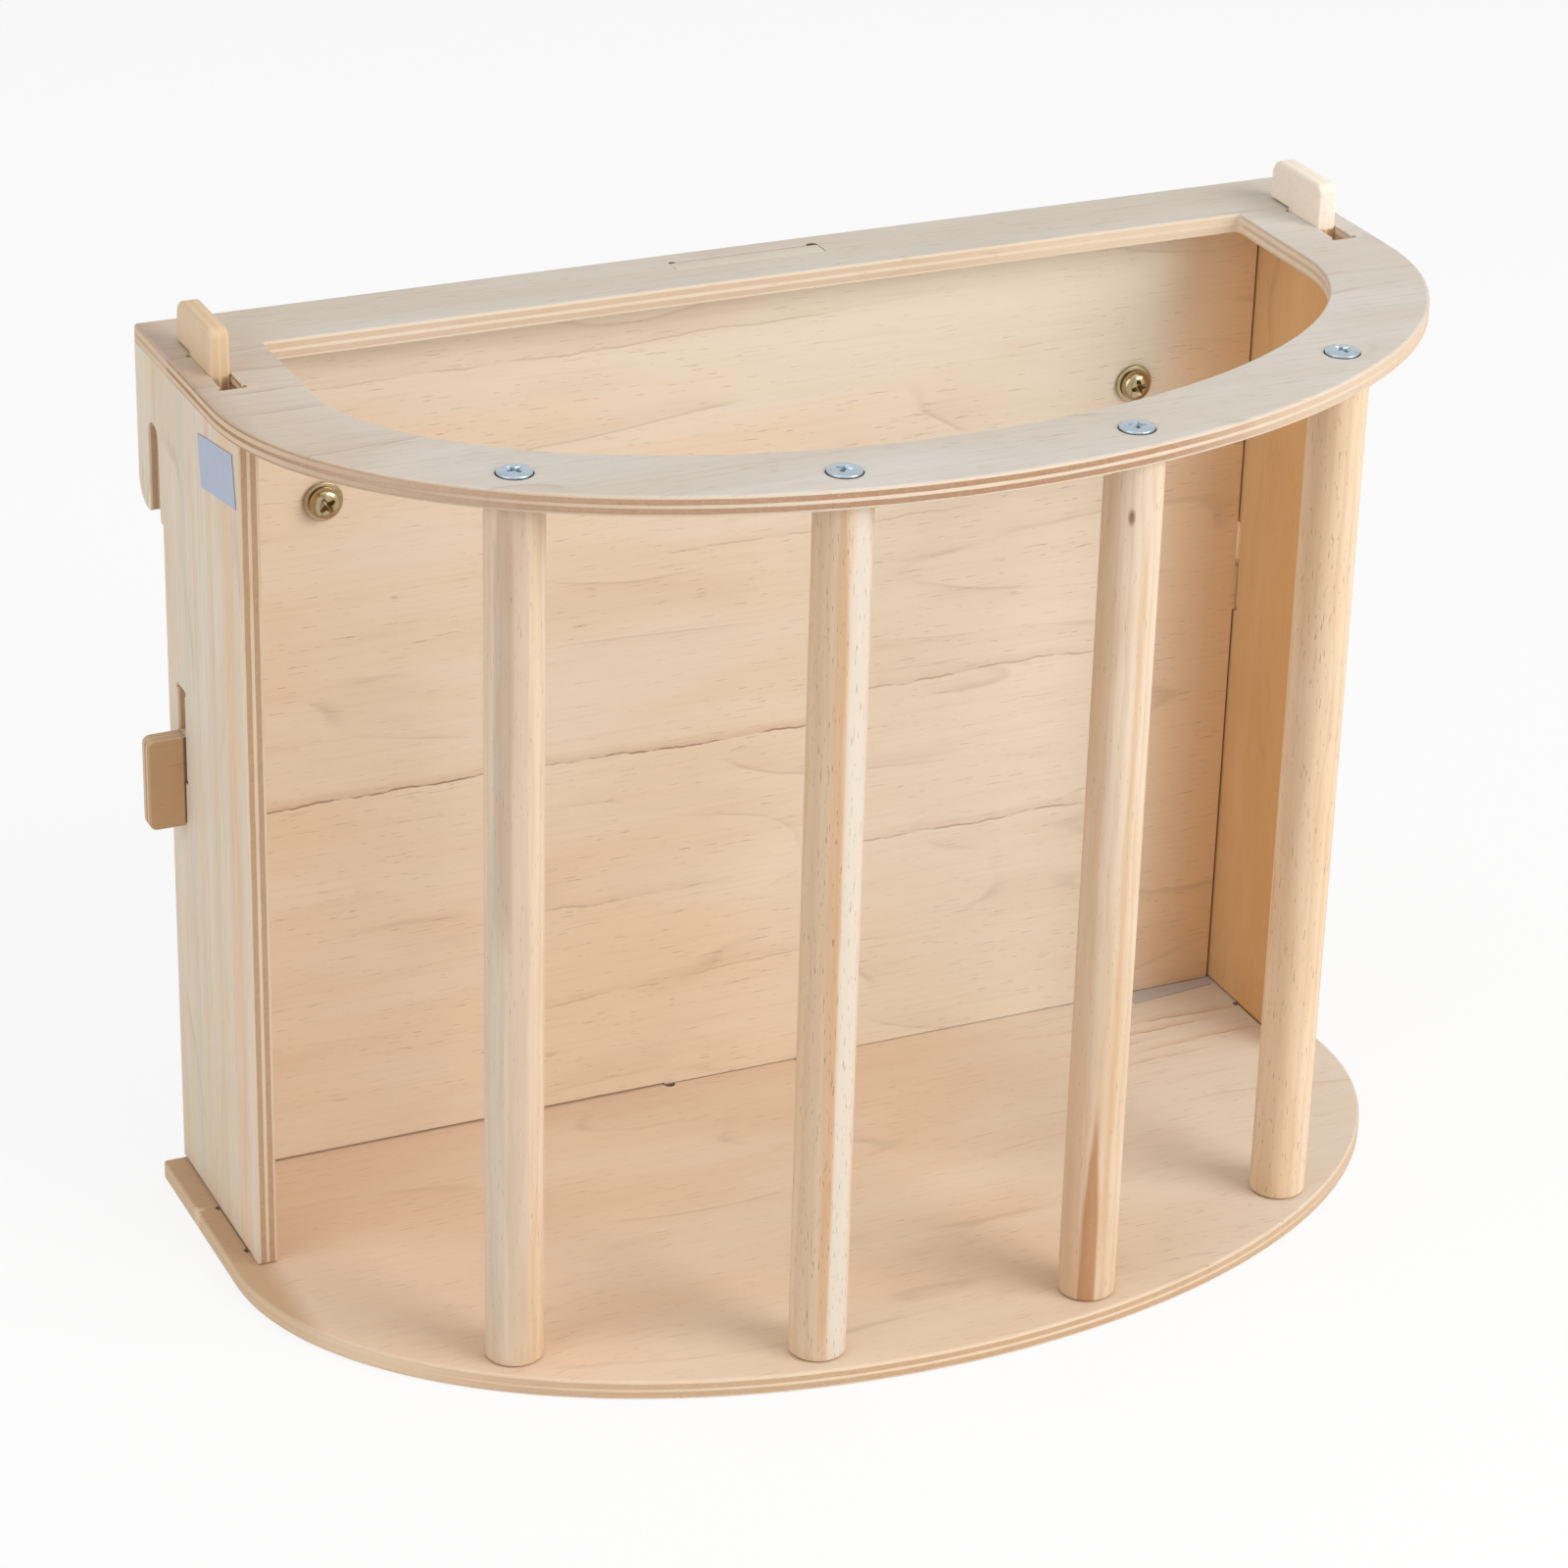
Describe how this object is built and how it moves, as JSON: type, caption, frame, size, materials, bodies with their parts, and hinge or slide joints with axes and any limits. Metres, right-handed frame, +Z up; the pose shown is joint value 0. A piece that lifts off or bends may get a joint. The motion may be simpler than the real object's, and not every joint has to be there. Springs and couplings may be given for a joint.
{
  "type": "hay rack",
  "caption": "Bowed wooden hay rack of slotted plywood panels and round bars, open at the top, with hooks and clamping bolts that hang it in a small animal's cage.",
  "frame": {"origin": "bottom centre of the whole rack's box, on the surface it stands on", "axes": "+X to the rack's right seen from the front, +Y to the back, where it hangs on the cage, +Z up"},
  "size_m": [0.3168, 0.1768, 0.2441],
  "materials": {
    "plywood": "sanded bare birch plywood, with its plies showing at the edges",
    "dowel": "sanded bare dowel",
    "zinc": "bluish zinc plating",
    "nickel": "warm nickel plating",
    "paper": "matt pale blue-grey paper"
  },
  "bodies": {
    "rack": {"bottom_panel": "plywood", "top_ring": "plywood", "left_side_panel": "plywood", "right_side_panel": "plywood", "back_panel": "plywood", "bar_1": "dowel", "bar_2": "dowel", "bar_3": "dowel", "bar_4": "dowel", "ring_screw_1": "zinc", "ring_screw_2": "zinc", "ring_screw_3": "zinc", "ring_screw_4": "zinc", "floor_screw_1": "zinc", "floor_screw_2": "zinc", "floor_screw_3": "zinc", "floor_screw_4": "zinc", "left_bolt": "nickel", "right_bolt": "nickel", "left_bolt_washer": "nickel", "right_bolt_washer": "nickel", "side_label": "paper", "floor_label": "paper"},
    "left_clamp": {"left_clamp_washer": "zinc"},
    "left_nut": {"left_wing_nut": "zinc"},
    "right_clamp": {"right_clamp_washer": "zinc"},
    "right_nut": {"right_wing_nut": "zinc"}
  },
  "joints": [
    {"name": "left_clamp_slide", "type": "slide", "parent": "rack", "child": "left_clamp", "axis": [0, 1, 0], "range_m": [0, 0.008]},
    {"name": "left_nut_turn", "type": "hinge", "parent": "left_clamp", "child": "left_nut", "pos_m": [-0.1125, 0.0645, 0.186], "axis": [0, 1, 0], "range_deg": [0, 4120]},
    {"name": "right_clamp_slide", "type": "slide", "parent": "rack", "child": "right_clamp", "axis": [0, 1, 0], "range_m": [0, 0.008]},
    {"name": "right_nut_turn", "type": "hinge", "parent": "right_clamp", "child": "right_nut", "pos_m": [0.1088, 0.0645, 0.186], "axis": [0, 1, 0], "range_deg": [0, 4120]}
  ],
  "couplings": [
    {"joint": "left_nut_turn", "follows": "left_clamp_slide", "rad_per_m": 8976},
    {"joint": "right_nut_turn", "follows": "right_clamp_slide", "rad_per_m": 8976}
  ]
}
